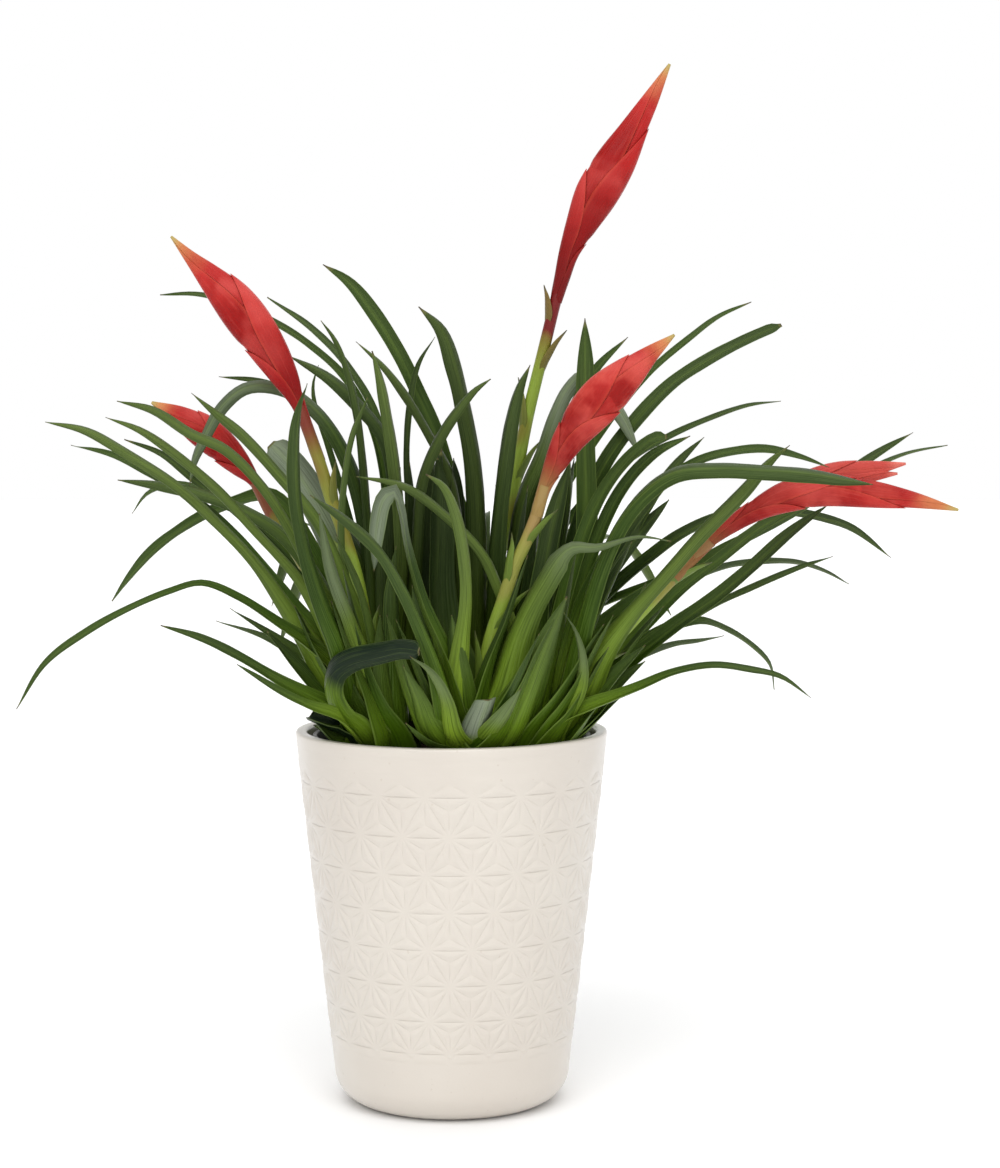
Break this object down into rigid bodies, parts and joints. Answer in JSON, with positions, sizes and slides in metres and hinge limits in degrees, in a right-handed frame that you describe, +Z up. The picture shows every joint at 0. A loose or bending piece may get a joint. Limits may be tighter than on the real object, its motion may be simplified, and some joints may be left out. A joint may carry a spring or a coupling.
{
  "type": "flaming sword bromeliad in a ceramic pot",
  "caption": "Potted flaming sword bromeliad: rosettes of long narrow arching leaves with flattened red flower spikes, standing in a tapered glazed cover pot with low star relief.",
  "frame": {"origin": "middle of the cover pot's flat underside, on the surface that it stands on", "axes": "+Z up along the pot's axis, -Y towards the front, +X to the right as seen from the front"},
  "size_m": [0.4038, 0.2966, 0.4527],
  "materials": {
    "glaze": "satin cream glaze",
    "black_plastic": "matt black",
    "soil": "loose dark crumb",
    "leaf": "glossy dark green leaf, paler at its base",
    "stalk": "yellow-green stem",
    "bract": "waxy red bract, orange at its tip"
  },
  "bodies": {
    "root": {"cover_pot": "glaze", "grow_pot": "black_plastic", "potting_soil": "soil", "rosette_front": "leaf", "rosette_left": "leaf", "rosette_left_back": "leaf", "rosette_back": "leaf", "rosette_right": "leaf", "scape_front": "stalk", "scape_left": "stalk", "scape_left_back": "stalk", "scape_back": "stalk", "scape_right": "stalk", "sword_front": "bract", "sword_left": "bract", "sword_left_back": "bract", "sword_back": "bract", "sword_right": "bract"}
  },
  "joints": []
}
